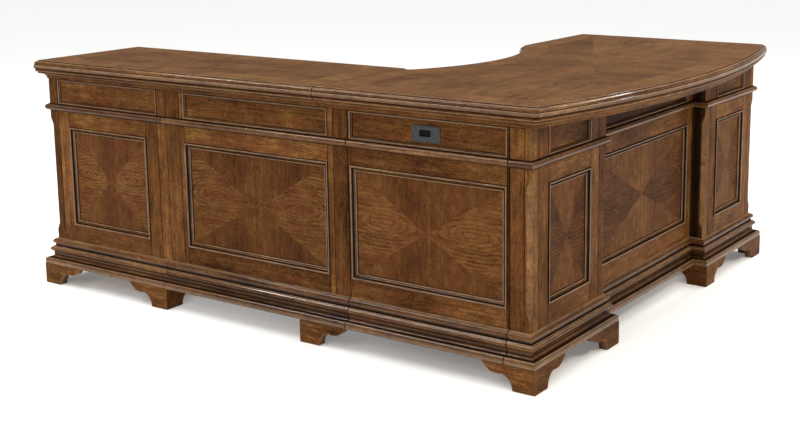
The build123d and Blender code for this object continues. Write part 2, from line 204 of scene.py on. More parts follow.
def soften(profile, cut=0.7 * MM, peak=0.75):
    """Round every sharp corner of an open profile and say how glazed it is, or how pale with wear and
    a painted highlight.
    """
    sharp, fading, slack = math.radians(24), 0.8 * MM, 1.05
    out = [(Vector(profile[0]), 0.0)]
    for before, here, after in zip(profile, profile[1:], profile[2:]):
        before, here, after = Vector(before), Vector(here), Vector(after)
        a, b = here - before, after - here
        turn = math.atan2(a.x * b.y - a.y * b.x, a.dot(b))
        if abs(turn) < sharp:
            out.append((here, 0.0))
            continue
        wear = max(-1.0, min(peak, -turn * 1.1))    # outer corners rub pale, which also paints a highlight on them; inner ones fill up
        reach = 1.0 if wear > 0 else 2.2            # and glaze lies wider than wear
        near = min(cut * reach ** 0.5, a.length * 0.35, b.length * 0.35)
        far = max(min(fading * reach, a.length * 0.45, b.length * 0.45), near * slack)
        back, on = a.normalized(), b.normalized()
        out += [(here - back * far, 0.0), (here - back * near, wear),
                (here + on * near, wear), (here + on * far, 0.0)]
    out.append((Vector(profile[-1]), 0.0))
    return out


def arc(centre, radius, start, end, steps=8):
    """Points of an arc, angles in degrees."""
    angles = [math.radians(start + (end - start) * i / steps) for i in range(steps + 1)]
    return [(centre[0] + radius * math.cos(a), centre[1] + radius * math.sin(a)) for a in angles]


def loft(shape, profile, rows, close=True):
    """Skin rows of profile points set along a run; the grain follows the run."""
    tone = rng.uniform(-1, 1)
    offset = scatter()
    index = [[shape.point(co) for co in row] for row in rows]
    middles = [sum(row, Vector()) / len(row) for row in rows]
    girth = [0.0]
    for (p, wear), (q, other) in zip(profile, profile[1:]):
        girth.append(girth[-1] + (q - p).length)
    count = len(profile)
    spans = range(count) if close else range(count - 1)
    start = 0.0
    for row, after, here, there in zip(index, index[1:], middles, middles[1:]):
        run = (there - here).normalized()
        for i in spans:
            j = (i + 1) % count
            corners = [(row[i], i), (row[j], j), (after[j], j), (after[i], i)]
            kept = [c for k, c in enumerate(corners)
                    if (shape.verts[c[0]] - shape.verts[corners[k - 1][0]]).length > 1e-6]
            if len(kept) < 3:
                continue
            grains = [Vector((start + (shape.verts[c] - here).dot(run), girth[k], 0)) + offset
                      for c, k in kept]
            shape.face([c for c, k in kept], grains, [profile[k][1] for c, k in kept], tone)
        start += (there - here).length
    if close:
        for row in (index[0], index[-1][::-1]):
            shape.face(row, [shape.verts[c] + offset for c in row], [0.0] * count, tone)


def sweep(shape, profile, stations):
    """Loft a softened profile through (origin, outward, up) stations."""
    rows = [[origin + out * p.x + up * p.y for p, wear in profile] for origin, out, up in stations]
    loft(shape, profile, rows)


def mitres(points):
    """Outward mitre vector, to the right of travel, at each point of a plan path."""
    normals = []
    for here, after in zip(points, points[1:]):
        d = (after - here).normalized()
        normals.append(Vector((d.y, -d.x, 0)))
    pairs = zip(normals[:1] + normals, normals + normals[-1:])
    return [(a + b) / (1 + a.dot(b)) for a, b in pairs]


def run(shape, profile, points):
    """A moulding round a plan path, one mitred board to each straight side."""
    points = [Vector((x, y, 0)) for x, y in points]
    stations = [(p, m, UP) for p, m in zip(points, mitres(points))]
    for a, b in zip(stations, stations[1:]):
        sweep(shape, profile, [a, b])


def circle(mesh, centre, side, up, radius, count):
    """A ring of vertices round a centre."""
    return [mesh.verts.new(centre + side * radius * math.cos(a) + up * radius * math.sin(a))
            for a in [math.tau * k / count for k in range(count)]]


def skin(mesh, rings):
    """Join each ring of vertices to the next one with a band of faces."""
    faces = []
    for a, b in zip(rings, rings[1:]):
        for k in range(len(a)):
            j = (k + 1) % len(a)
            faces.append(mesh.faces.new((a[k], a[j], b[j], b[k])))
    return faces


def forge(mesh, name, materials, body, slot, crease, *nodes):
    """Turn metal parts built by hand into a finished piece."""
    bmesh.ops.recalc_face_normals(mesh, faces=mesh.faces)
    data = bpy.data.meshes.new(name)
    mesh.to_mesh(data)
    mesh.free()
    settle(name, data, materials, body, nodes, crease)


# ---- materials ----
class Tree:
    """Short hand for building a node tree."""

    def __init__(self, name):
        self.material = bpy.data.materials.new(name)
        self.material.use_nodes = True
        self.nodes = self.material.node_tree.nodes
        self.links = self.material.node_tree.links
        self.shader = self.nodes["Principled BSDF"]

    def node(self, kind, inputs=None, **settings):
        node = self.nodes.new("ShaderNode" + kind)
        for key, value in settings.items():
            setattr(node, key, value)
        for key, value in (inputs or {}).items():
            self.put(node.inputs[key], value)
        return node

    def put(self, socket, value):
        if isinstance(value, bpy.types.NodeSocket):
            self.links.new(value, socket)
        else:
            socket.default_value = value

    def shade(self, inputs):
        """Set or feed the named inputs of the surface."""
        for key, value in inputs.items():
            self.put(self.shader.inputs[key], value)

    def attribute(self, name, output="Fac"):
        return self.node("Attribute", attribute_name=name).outputs[output]

    def math(self, operation, a, b=0.0, clamp=False):
        node = self.node("Math", {0: a, 1: b}, operation=operation, use_clamp=clamp)
        return node.outputs[0]

    def add(self, value, other, weight):
        """A value plus a share of another one."""
        return self.math("ADD", value, self.math("MULTIPLY", other, weight))

    def noise(self, vector, scale, detail=3.0, rough=0.55, warp=0.0):
        inputs = {"Vector": vector, "Scale": scale, "Detail": detail, "Roughness": rough,
                  "Distortion": warp}
        return self.node("TexNoise", inputs).outputs["Fac"]

    def weave(self, vector, along, across, detail=3.0, rough=0.6, warp=0.0):
        """Noise of one density along the grain and another one across it."""
        scale = (along, across, across)
        drawn = self.node("Mapping", {"Vector": vector, "Scale": scale}).outputs[0]
        return self.noise(drawn, 1.0, detail, rough, warp)

    def remap(self, value, low, high, to_low=0.0, to_high=1.0):
        inputs = {"Value": value, 1: low, 2: high, 3: to_low, 4: to_high}
        return self.node("MapRange", inputs, clamp=True).outputs[0]

    def mix(self, factor, a, b, blend="MIX"):
        node = self.node("Mix", {0: factor, 6: a, 7: b}, data_type="RGBA", blend_type=blend)
        return node.outputs[2]

    def bump(self, height, strength, distance):
        inputs = {"Height": height, "Strength": strength, "Distance": distance}
        return self.node("Bump", inputs).outputs[0]


def rgb(red, green, blue):
    return (red, green, blue, 1.0)


def wood(name, dark, middle, light, figure=0.30, cloud=0.46, swirl=0.0, rough=0.40, coat=0.0,
         gloss=0.025, lift=0.58, glaze=True):
    """Stained, lacquered wood: bands, fibres, pores, blotches, glazed grooves and worn edges, with
    painted highlights on the pale marks and painted shade on some dark ones.
    """
    # Densities are per metre, along the grain and across it.
    t = Tree(name)
    place = t.attribute("grain", "Vector") if glaze else t.node("TexCoord").outputs["Object"]
    wander = t.weave(place, 2.2, 7.0, 2.0, 0.55)
    aside = t.node("CombineXYZ", {1: t.math("MULTIPLY", t.math("SUBTRACT", wander, 0.5), 0.06)})
    bent = t.node("VectorMath", {0: place, 1: aside.outputs[0]}, operation="ADD").outputs[0]
    bands = t.weave(bent, 1.6, 34.0, 5.0, 0.62, 0.6)
    fibres = t.weave(bent, 22.0, 620.0)
    streaks = t.weave(bent, 5.0, 150.0)
    pores = t.weave(bent, 70.0, 1500.0, 1.0, 0.5)
    blotch = t.weave(place, 5.0, 8.0, 3.0, 0.5)

    value = t.math("MULTIPLY", t.remap(bands, 0.25, 0.75), figure)
    value = t.add(value, t.remap(streaks, 0.3, 0.7), 0.20)
    value = t.add(value, t.remap(blotch, 0.28, 0.72), cloud)
    if swirl:
        centre = t.attribute("swirl", "Vector")
        strength = t.node("SeparateXYZ", {0: centre}).outputs["Z"]
        flat = t.node("VectorMath", {0: centre, 1: (1.0, 1.0, 0.0)}, operation="MULTIPLY").outputs[0]
        shake = t.weave(place, 6.0, 13.0, 4.0)
        inputs = {"Vector": flat, "Scale": 30.0, "Distortion": 2.6, "Detail": 3.0,
                  "Detail Scale": 1.8, "Phase Offset": t.math("MULTIPLY", shake, 15.0)}
        rings = t.node("TexWave", inputs, wave_type="RINGS", rings_direction="SPHERICAL",
                       wave_profile="SAW").outputs["Fac"]
        line = t.math("MULTIPLY", t.remap(rings, 0.0, 0.42, 1.0, 0.0), strength)
        faint = t.remap(t.noise(place, 9.0, 2.0), 0.40, 0.62, 0.0, swirl)
        value = t.math("SUBTRACT", value, t.math("MULTIPLY", line, faint))
    # Board tone, which also carries painted light on veneer leaves and painted shade on the centre
    # frieze.
    value = t.add(value, t.attribute("tone"), 0.10)
    speckle = t.weave(bent, 120.0, 300.0, 2.0, 0.5)
    mottle = t.weave(place, 24.0, 44.0)
    grit = t.add(t.math("MULTIPLY", fibres, 0.40), speckle, 0.46)
    grit = t.add(grit, mottle, 0.5)
    value = t.math("ADD", value, t.math("SUBTRACT", grit, lift), True)

    ramp = t.node("ValToRGB", {"Fac": value})
    low, high = ramp.color_ramp.elements
    low.color, low.position = dark, 0.16
    high.color, high.position = light, 0.90
    ramp.color_ramp.elements.new(0.52).color = middle
    drift = t.remap(t.weave(bent, 9.0, 26.0, 4.0), 0.36, 0.64)
    hue = t.mix(drift, rgb(1.0, 0.88, 0.86), rgb(1.04, 1.14, 0.92))
    colour = t.mix(1.0, ramp.outputs[0], hue, "MULTIPLY")
    colour = t.mix(t.remap(pores, 0.36, 0.44, 0.55, 0.0), colour, dark, "MULTIPLY")

    roughness = t.remap(streaks, 0.2, 0.8, rough - 0.05, rough + 0.09)
    if glaze:
        wear = t.attribute("wear")
        patchy = t.remap(t.weave(place, 30.0, 60.0, 4.0), 0.3, 0.6, 0.4, 1.0)
        glaze_and_shade_mask = t.math("MULTIPLY", t.math("MULTIPLY", wear, -1.0, True), 0.94)
        rubbed_and_lit = t.math("MULTIPLY", t.math("MAXIMUM", wear, 0.0), patchy)
        # Pale marks are rubbed wear with a painted highlight; dark marks are glaze and, in places,
        # painted shade.
        colour = t.mix(t.math("MULTIPLY", rubbed_and_lit, 0.62), colour, RUBBED_AND_HIGHLIGHT)
        colour = t.mix(glaze_and_shade_mask, colour, GLAZE_AND_SHADE)
        roughness = t.add(roughness, glaze_and_shade_mask, 0.3)
    if coat:
        coat = t.math("MULTIPLY", t.math("SUBTRACT", 1.0, glaze_and_shade_mask), coat)
    relief = t.add(t.remap(pores, 0.34, 0.46), fibres, 0.6)
    t.shade({"Base Color": colour, "Roughness": roughness, "Specular IOR Level": gloss,
             "Coat Weight": coat, "Coat Roughness": 0.1, "Normal": t.bump(relief, 0.22, 0.00025)})
    return t.material


def metal(name, colour, worn, rough, metallic=1.0, shine=0.5):
    """Antiqued or painted metal with rubbed high spots and fine scratches."""
    t = Tree(name)
    place = t.node("TexCoord").outputs["Object"]
    cloud = t.noise(place, 90.0, 4.0, 0.6)
    scratch = t.weave(place, 300.0, 2200.0, 2.0, 0.55)
    t.shade({"Base Color": t.mix(t.remap(cloud, 0.42, 0.66), colour, worn), "Metallic": metallic,
             "Roughness": t.remap(scratch, 0.3, 0.7, rough - 0.06, rough + 0.1),
             "Specular IOR Level": shine, "Normal": t.bump(cloud, 0.12, 0.0004)})
    return t.material


# Glaze colour, also laid on as painted shade; rubbed colour, also laid on as a painted highlight.
GLAZE_AND_SHADE, RUBBED_AND_HIGHLIGHT = rgb(0.010, 0.005, 0.003), rgb(0.50, 0.350, 0.210)
DARK, MIDDLE, LIGHT = rgb(0.034, 0.0110, 0.0034), rgb(0.138, 0.0555, 0.0180), rgb(0.33, 0.164, 0.058)
RAW = rgb(0.30, 0.19, 0.10), rgb(0.46, 0.31, 0.17), rgb(0.60, 0.43, 0.26)
CASE = wood("case_wood", DARK, MIDDLE, LIGHT, figure=0.20, cloud=0.28)
MOULDING = wood("moulding_wood", DARK, rgb(0.130, 0.0530, 0.0180), rgb(0.32, 0.160, 0.060),
                figure=0.18, cloud=0.26, rough=0.33, coat=0.48)
VENEER = wood("figured_veneer", rgb(0.040, 0.0130, 0.0042), rgb(0.112, 0.0435, 0.0146),
              rgb(0.235, 0.108, 0.038), figure=0.12, cloud=0.20, swirl=0.31, lift=0.46)
TOP = wood("top_veneer", rgb(0.066, 0.026, 0.0095), rgb(0.158, 0.074, 0.029),
           rgb(0.26, 0.136, 0.056), figure=0.22, cloud=0.22, rough=0.46, gloss=0.07)
DRAWER = wood("drawer_wood", *RAW, rough=0.5)
INSIDE = wood("inside_wood", DARK, rgb(0.12, 0.05, 0.018), rgb(0.22, 0.105, 0.042), glaze=False)
PALE = wood("runner_wood", *RAW, rough=0.5, glaze=False)
BRASS = metal("aged_brass", rgb(0.10, 0.065, 0.035), rgb(0.34, 0.24, 0.12), 0.34)
BLACK = metal("black_plate", rgb(0.022, 0.024, 0.028), rgb(0.040, 0.043, 0.050), 0.45, 0.0, 0.35)
# Near-black lining of the port's slot: painted shade of the opening's depth.
SLOT_SHADE = metal("slot_shade_black", rgb(0.004, 0.004, 0.005), rgb(0.008, 0.008, 0.009), 0.7, 0.0, 0.05)
STEEL = metal("screw_steel", rgb(0.05, 0.05, 0.055), rgb(0.10, 0.10, 0.11), 0.3)


# ---- moulding profiles, (projection, height) ----
def mm(points):
    return [(x * MM, y * MM) for x, y in points]


def base_profile():
    """Fillet and ovolo, quirk, torus, scotia and a wide band that reaches the feet."""
    line = [(-2, 155), (0.6, 155), (1.5, 153)] + arc((2, 141.5), 11.5, 84, 0, 6)
    line += [(13.2, 138.6), (7.4, 137.4), (7, 128.6), (12.5, 127), (14, 125)]
    line += arc((13.2, 117.2), 6.8, 70, -68, 8) + [(13.0, 108.6), (11.6, 104)]
    line += [(11.6, 96.5)] + arc((21, 97.4), 9.4, 185, 255, 5) + [(27.5, 88.6)]
    line += arc((27.4, 82.2), 5.4, 80, 0, 5) + [(32.8, 70.4), (31.6, 68), (-2, 68)]
    line = hold(soften(mm(line)), 1, FILLED, (127.6, 133), (96, 101), (88.2, 89.2), (66, 69))
    # Painted highlights: pale lines along the upper edges of the fillet, torus, scotia and band.
    return hold(line, 1, 0.5, (152, 153.6), (121.5, 123.6), (86, 88), (70.2, 72))


def bead_profile():
    """Waist bead: a half round between two narrow fillets."""
    middle = 605.5
    line = [(-2, 617), (1.6, 617), (2.2, middle + 9.8)]
    line += arc((2.2, middle), 9.6, 78, -78, 12)
    line += [(2.2, middle - 9.8), (1.6, 594), (-2, 594)]
    line = hold(soften(mm(line)), 1, FILLED, (593, 596.6), (614.4, 618))
    # Painted highlight along the top of the bead.
    return hold(line, 1, 0.35, (611, 613.6))


def crown_profile():
    """Bands under the slab, then a cove down to the frieze."""
    line = [(-2, 735), (29.6, 735), (29.6, 726), (28.4, 724.8), (23, 724.6), (22.6, 719.2)]
    line += [(19.6, 718.2)] + arc((19.6, 700.8), 17.4, 90, 178, 8)[1:] + [(0.6, 700), (-2, 700)]
    line = hold(soften(mm(line)), 1, FILLED, (699, 702), (717.8, 719.8), (724.2, 725.2), (734, 736))
    # Painted highlights: pale lines on the bands under the slab.
    return hold(line, 1, 0.5, (725.8, 728), (714, 717.5))


def slab_profile():
    """Edge of the tops: eased upper arris, quirk, ovolo and a square band."""
    line = [(-14.6, 762), (-13.4, 761.7), (-12.9, 759.9), (-11.4, 758.9)]
    line += arc((-12.0, 749.2), 9.8, 80, 0, 7) + [(-2.8, 747.8), (-0.2, 746.2)]
    line += [(0, 744.5), (0, 737.0), (-1.6, 735)]
    line = hold(soften(mm(line), 0.5 * MM), 1, FILLED, (734, 736.8), (746.8, 749.0), (759, 759.9))
    # Painted highlights: pale lines on the upper arris, the ovolo's top and the square band's top.
    return hold(line, 1, 0.45, (761.2, 762.5), (756.6, 758.4), (744.2, 745.6))


def panel_profile():
    """Raised moulding round a lower panel: (inward, outward from the wall)."""
    line = [(-0.5, -1), (-0.5, 2.2), (0.4, 3.6), (2.0, 4.2), (4.2, 3.8), (5.2, 2.4), (5.4, 0.4)]
    line += [(7.2, 0.2), (7.6, -1.4)] + arc((13.4, -0.6), 6.0, 188, 262, 5)
    line += [(12.8, -6.0), (13.2, -4.6), (14.6, -3.9), (16.2, -4.4), (17.2, -5.8), (18, -8.2)]
    line = soften(mm(line), 0.4 * MM, 0.75)
    return hold(line, 0, FILLED, (-1, 0.2), (5.1, 8.4), (12.2, 13.1), (16.9, 19))


def frieze_profile():
    """Narrow moulding round a frieze panel."""
    line = [(-0.5, -1), (-0.5, 1.8), (0.6, 3.0), (2.2, 3.0), (3.4, 1.8), (3.7, -0.2), (5.2, -0.6)]
    line += [(6.4, -2.2), (7.4, -4.4), (8, -6.2)]
    return hold(soften(mm(line), 0.35 * MM, 0.65), 0, FILLED, (-1, -0.4), (3.6, 5.3), (7.2, 9))


# ---- tops ----
BITE_RADIUS = 590 * MM   # hollow in the user's edge of the desk top
BITE_DEPTH = 131 * MM    # its depth, from the pedestal's edge
BITE_Y = 785 * MM        # its middle, from the long face's edge
LEDGE_Y = 456 * MM       # straight edge between the bite and the seam, from the same edge
HORN = 150 * MM          # round where the bite runs out at the pedestal
CLIP = 12 * MM           # clipped corners
BAND = 85 * MM           # width of the cross-banded border


def desk_plan(inset):
    """Outline of the desk top drawn in by an inset, with as many points whatever the inset."""
    seam = RET_HI.x + SEAM + ARRIS
    x0, y0, y1 = TOP_LO.x + inset, TOP_LO.y + inset, TOP_HI.y - inset
    middle = (TOP_LO.y + TOP_HI.y) / 2
    bow = TOP_HI.x - BODY_X - OVERHANG
    radius = ((middle - TOP_LO.y) ** 2 + bow ** 2) / (2 * bow)
    centre = (TOP_HI.x - radius, middle)
    radius -= inset
    clip = max(0.0, CLIP - inset * (2 - math.sqrt(2)))
    half = math.asin((middle - y0) / radius)
    corner = centre[0] + radius * math.cos(half)
    sweep_to = math.degrees(math.asin((middle - y0 - clip) / radius))
    points = [(seam, y0), (corner - clip, y0)] + arc(centre, radius, -sweep_to, sweep_to, 40)
    points += [(corner - clip, y1), (x0, y1)]
    hollow, bite = (TOP_LO.x + BITE_DEPTH - BITE_RADIUS, TOP_LO.y + BITE_Y), BITE_RADIUS + inset
    horn = HORN - inset
    horn_x = x0 + horn
    horn_y = hollow[1] + math.sqrt((bite + horn) ** 2 - (horn_x - hollow[0]) ** 2)
    meet = math.degrees(math.atan2(horn_y - hollow[1], horn_x - hollow[0]))
    points += arc((horn_x, horn_y), horn, 180, 180 + meet, 8)
    ledge = TOP_LO.y + LEDGE_Y - inset
    low = -math.degrees(math.asin((hollow[1] - ledge) / bite))
    points += arc(hollow, bite, meet, low, 30)[1:]
    points += [(seam, ledge)]
    return [Vector((x, y, 0)) for x, y in points]


def return_plan(inset):
    """Outline of the return top, from one end of the seam round to the other."""
    x0, y0, y1 = RET_LO.x + inset, RET_LO.y + inset, RET_HI.y - inset
    clip = max(0.0, CLIP / 2 - inset * (2 - math.sqrt(2)))
    seam = RET_HI.x - ARRIS
    points = [(seam, y1), (x0, y1), (x0, y0 + clip), (x0 + clip, y0), (seam, y0)]
    return [Vector((x, y, 0)) for x, y in points]


def field_faces(outline, middle, cuts):
    """Split the field of a top along lines through its middle; returns polygons in plan."""
    mesh = bmesh.new()
    mesh.faces.new([mesh.verts.new(p) for p in outline])
    for angle in cuts:
        normal = Vector((-math.sin(angle), math.cos(angle), 0))
        geometry = mesh.verts[:] + mesh.edges[:] + mesh.faces[:]
        bmesh.ops.bisect_plane(mesh, geom=geometry, plane_co=middle, plane_no=normal)
    polygons = [[v.co.copy() for v in f.verts] for f in mesh.faces]
    mesh.free()
    return polygons


def top_face(shape, points, turned, tone):
    """One flat leaf of a top, grain along X or turned to Y."""
    points = [Vector((p.x, p.y, TOP_Z)) for p in points]
    normal = sum((a.cross(b) for a, b in zip(points, points[1:] + points[:1])), Vector())
    if normal.z < 0:
        points.reverse()
    offset = scatter()
    grains = [(p.yxz if turned else p.copy()) + offset for p in points]
    shape.face([shape.point(p) for p in points], grains, [0.0] * len(points), tone)


def build_top(name, plan, cuts, middle, seam_band):
    """A top: moulded edge and underside in one piece, border and matched leaves in another."""
    rim, shape = Shape(), Shape()
    profile = slab_profile()
    rows = list(zip(*[[point + UP * p.y for point in plan(-p.x)] for p, wear in profile]))
    outer, inner = plan(-profile[0][0].x), plan(BAND - profile[0][0].x)
    for a, b in segments(outer):
        loft(rim, profile, rows[a:b + 1], close=False)
    limit = outer[0].x + seam_band
    for p in inner:
        p.x = max(p.x, limit) if seam_band > 0 else min(p.x, limit)
    for a, b in segments(outer):
        border = outer[a:b + 1] + inner[a:b + 1][::-1]
        direction = outer[b] - outer[a]
        top_face(shape, border, abs(direction.x) > abs(direction.y), rng.uniform(0.1, 0.5))
    seam_strip = [outer[0], inner[0], inner[-1], outer[-1]]
    top_face(shape, seam_strip, False, 0.3)
    for polygon in field_faces([p for p, q in zip(inner, inner[1:] + inner[:1])
                                if (p - q).length > 1e-5], middle, cuts):
        away = sum(polygon, Vector()) / len(polygon) - middle
        turned = len(cuts) > 1 and abs(away.x) < abs(away.y)
        top_face(shape, polygon, turned, rng.uniform(-0.9, 0.6))
    under = [point + UP * SLAB_Z for point in plan(-profile[-1][0].x)]
    low = [rim.point(p) for p in reversed(under)]
    rim.face(low, [rim.verts[i].copy() for i in low], [0.0] * len(low), 0.0)
    # The tops' end faces at the seam are darkened with the glaze colour: painted shade in the gap.
    edge = [rim.point(p) for p in rows[0] + rows[-1][::-1]]
    rim.face(edge, [rim.verts[i].zxy for i in edge], [-0.9] * len(edge), 0.0)
    rim.build(name + "_edge", MOULDING, name, slot="top_veneer", closed=False)
    shape.build(name + "_field", TOP, slot="top_veneer", closed=False)


def segments(path):
    """Index ranges of a path between its sharp corners."""
    starts = [0]
    for i in range(1, len(path) - 1):
        a, b = (path[i] - path[i - 1]).normalized(), (path[i + 1] - path[i]).normalized()
        if a.dot(b) < math.cos(math.radians(14)):
            starts.append(i)
    starts.append(len(path) - 1)
    return list(zip(starts, starts[1:]))


def build_tops():
    """The desk's field is cut along its diagonals, the return's along its width."""
    middle = Vector(((TOP_LO.x + TOP_HI.x) / 2 + 50 * MM, (TOP_LO.y + TOP_HI.y) / 2, 0))
    slope = math.atan2(TOP_HI.y - TOP_LO.y, TOP_HI.x - TOP_LO.x)
    build_top("desk_top", desk_plan, (slope, -slope), middle, BAND)
    middle = Vector(((RET_LO.x + RET_HI.x) / 2, (RET_LO.y + RET_HI.y) / 2, 0))
    build_top("return_top", return_plan, (math.pi / 2,), middle, -BAND)


def build_crowns():
    """Crown mouldings: the desk's follows the bow, and both keep the clipped corners."""
    profile = crown_profile()
    stop = PED_Y + 60 * MM
    last = max(i for i, p in enumerate(desk_plan(OVERHANG)) if p.x <= PED_X and p.y > PED_Y)
    for name, plan, count in (("desk_crown", desk_plan, last + 1), ("return_crown", return_plan, 5)):
        shape = Shape()
        columns = []
        for p, wear in profile:
            points = plan(OVERHANG - p.x)[:count]
            if name == "desk_crown":
                points = points[:-1] + [Vector((points[-1].x, stop, 0))]
            columns.append([point + UP * p.y for point in points])
        rows = list(zip(*columns))
        if name == "return_crown":
            rows.reverse()
        for a, b in segments([row[3] for row in rows]):
            loft(shape, profile, rows[a:b + 1])
        shape.build(name + "_moulding", CASE, name, slot="moulding_wood")


# ---- runs of moulding ----
def visitor_line(start):
    """Plan path from a start on the long face, round the visitor face's steps, to the far end."""
    return [(start, BODY_Y), (BODY_X, BODY_Y), (BODY_X, NEAR_Y), (CENTRE_X, NEAR_Y),
            (CENTRE_X, PED_Y), (BODY_X, PED_Y), (BODY_X, FAR_Y), (PED_X, FAR_Y)]


def build_runs():
    """Beads and base mouldings, each in the three runs that the modules divide them into."""
    panel_lo, panel_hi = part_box("end_panel_bead")
    ease = 0.6 * MM
    across = [(panel_lo.x + ease, BODY_Y), (panel_hi.x - ease, BODY_Y)]
    start = panel_hi.x + 2 * SEAM + ease
    stop = panel_lo.x - 2 * SEAM - ease
    joint = RETURN_EDGE - BACK_JOINT
    back = [(RETURN_X, RETURN_Y), (RETURN_X, BODY_Y), (joint - SEAM, BODY_Y)]
    knee = [(joint + SEAM, BODY_Y), (stop, BODY_Y)]
    bead, base = bead_profile(), base_profile()
    runs = {"desk_bead": (bead, visitor_line(start)),
            "end_panel_bead": (bead, across),
            "return_bead": (bead, back),
            "desk_base_moulding": (base, visitor_line(start) + [(PED_X, PED_Y)]),
            "end_panel_base_moulding": (base, across),
            "return_base_moulding": (base, [(RETURN_EDGE, RETURN_Y)] + back)}
    for name, (profile, points) in runs.items():
        shape = Shape()
        run(shape, profile, points)
        if name.startswith("return"):
            run(shape, profile, knee)
        shape.build(name + "_run", MOULDING, name, slot="moulding_wood")


# ---- framed walls ----
def face_place(face, lo, hi):
    """Matrix and length of a wall drawn with X along it and Y going inward."""
    wide, deep = hi.x - lo.x, hi.y - lo.y
    turn, x, y, length = {"long": (0, lo.x, lo.y, wide), "visitor": (90, hi.x, lo.y, deep),
                          "far": (180, hi.x, hi.y, wide), "return_end": (-90, lo.x, hi.y, deep)}[face]
    return Matrix.Translation((x, y, 0)) @ Matrix.Rotation(math.radians(turn), 4, "Z"), length


def ring(shape, place, span, heights, profile):
    """Four mitred lengths of panel moulding round an opening."""
    (a, b), (low, high) = span, heights
    corners = [(a, low), (b, low), (b, high), (a, high)]
    turn = place.to_3x3()
    root = -12 * MM
    closed = profile + [(Vector((p.x, root)), 0.0) for p in (profile[-1][0], profile[0][0])]
    stations = [(place @ Vector((x, 0, z)), turn @ Vector((-u, 0, -v)), turn @ -INTO)
                for (x, z), (u, v) in zip(corners, AROUND)]
    for i in range(4):
        sweep(shape, closed, [stations[(i + 1) % 4], stations[i]])


def veneer(shape, place, span, heights, lit_uprights):
    """Four matched leaves that meet at one point, side leaves with the grain lying down."""
    (a, b), (low, high) = span, heights
    wide, tall = b - a, high - low
    mid = low + tall * 0.49
    meet = (a + wide * 0.49, mid)
    leaves = [([(a, low), (b, low), meet], "up", 1, 1),
              ([(b, high), (a, high), meet], "up", 1, -1),
              ([(a, high), (a, low), meet], "flat", 1, 1),
              ([(b, low), (b, high), meet], "flat", -1, 1)]
    # Painted light and shade: the leaves are made lighter or darker by which face the wall is on, as
    # light falls along or across their grain.
    leaf_light = {"up": 0.7, "flat": -0.9} if lit_uprights else {"up": -0.3, "flat": 1.0}
    shared = {"up": scatter(), "flat": scatter()}
    shape_tone = rng.uniform(-0.35, 0.35)
    for outline, lie, sx, sz in leaves:
        corners, grains, rings = [], [], []
        for x, z in outline:
            corners.append(shape.point(place @ Vector((x, LEAF_DEPTH, z))))
            u, v = (x - (a + b) / 2) * sx, (z - mid) * sz
            flat = Vector((u, v, 0)) if lie == "flat" else Vector((v, u, 0))
            grains.append(flat + shared[lie])
            # Eye of the figure, drawn out along the grain; Z is how strongly it shows.
            if lie == "flat":
                rings.append(Vector(((u + wide * 0.30) * 0.36, v - tall * 0.06, 1.0)))
            else:
                rings.append(Vector((u * 0.7, v * 0.15 + 0.02, 0.15)))
        shape.face(corners, grains, [0.0] * len(corners), shape_tone + leaf_light[lie])
        shape.swirl += rings


def build_wall(name, face, low_open, high_open, left_strips=(), right_strips=()):
    """Stiles, rails, mouldings and veneer of one wall, from the margins beside its openings."""
    lo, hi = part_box(name + "_frame")
    place, length = face_place(face, lo, hi)
    low_open = (low_open[0], length - low_open[1])
    high_open = (high_open[0], length - high_open[1])
    split = (BEAD_LOW + BEAD_HIGH) / 2
    shape = Shape()
    zones = ((FOOT_H, split, low_open, PANEL_Z), (split, CROWN_Z, high_open, FRIEZE_Z))
    for bottom, top, (a, b), (low, high) in zones:
        cuts = [0.0] + [s for s in left_strips if s < a - SEAM] + [a]
        ends = [b] + [length - s for s in right_strips if length - s > b + SEAM] + [length]
        for strip in (cuts, ends):
            for x0, x1 in zip(strip, strip[1:]):
                board(shape, (x0, 0, bottom), (x1, THICK, top), "z", place)
        for z0, z1 in ((bottom, low), (high, top)):
            board(shape, (a, 0, z0), (b, THICK, z1), "x", place)
    shape.build(name + "_boards", CASE, name + "_frame")

    mouldings = Shape()
    ring(mouldings, place, low_open, PANEL_Z, panel_profile())
    ring(mouldings, place, high_open, FRIEZE_Z, frieze_profile())
    mouldings.build(name + "_mouldings", MOULDING, slot="moulding_wood")

    leaves = Shape()
    veneer(leaves, place, (low_open[0] + LEAF_IN, low_open[1] - LEAF_IN),
           (PANEL_Z[0] + LEAF_IN, PANEL_Z[1] - LEAF_IN), face != "long")
    leaves.build(name + "_veneer", VENEER, name + "_panels", slot="panel_veneer", closed=False)

    backs = Shape()
    tone = -3.6 if name == "centre_front" else None   # painted shade: this frieze board is darkened where the bow shades it
    for (a, b), (z0, z1), (y0, y1), along, tone in ((high_open, FRIEZE_Z, FRIEZE_BOARD, "x", tone),
                                                    (low_open, PANEL_Z, BACKING, "z", None)):
        board(backs, (a, y0, z0), (b, y1, z1), along, place, tone=tone)
    backs.build(name + "_boards_behind", CASE, slot="panel_veneer")


def build_walls():
    """All eight walls, with the margins left and right of the openings and any stile joints."""
    knee = (77 * MM, 73 * MM)
    build_wall("return_back", "long", (MARGIN, 92 * MM), (5 * MM, POST), (), (POST,))
    build_wall("knee_back", "long", knee, knee, (57 * MM,), (MARGIN,))
    for name, face, margin in (("end_panel", "long", LIP), ("near_front", "visitor", MARGIN),
                               ("centre_front", "visitor", NARROW),
                               ("far_front", "visitor", MARGIN), ("far_end", "far", MARGIN),
                               ("return_end", "return_end", MARGIN)):
        build_wall(name, face, (margin, margin), (margin, margin))


